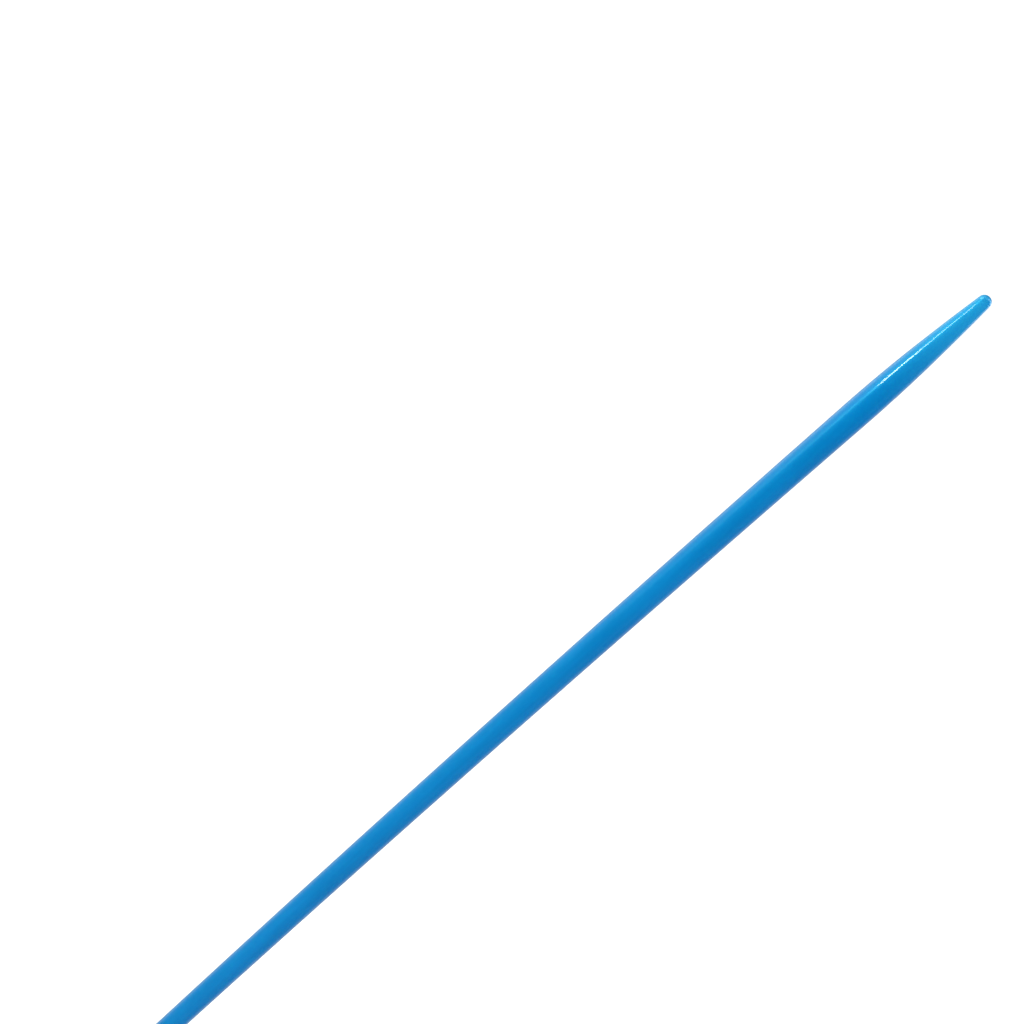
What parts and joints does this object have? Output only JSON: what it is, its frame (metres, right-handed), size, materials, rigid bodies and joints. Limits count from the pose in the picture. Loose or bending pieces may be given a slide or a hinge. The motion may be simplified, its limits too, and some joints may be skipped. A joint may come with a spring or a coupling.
{
  "type": "knitting needle",
  "caption": "Thin straight knitting needle: steel-cored blue plastic shaft with a long taper to a small round tip and a round end cap.",
  "frame": {"origin": "centre of the end cap's flat back face", "axes": "+Z along the needle's axis, from the end cap to the tip; X and Y are free, because the needle is round"},
  "size_m": [0.008, 0.008, 0.18],
  "materials": {
    "blue_plastic": "glossy moulded plastic, bright sky blue",
    "core_steel": "bright drawn wire"
  },
  "bodies": {
    "root": {"shaft": "blue_plastic", "end_cap": "blue_plastic", "steel_core": "core_steel"}
  },
  "joints": []
}
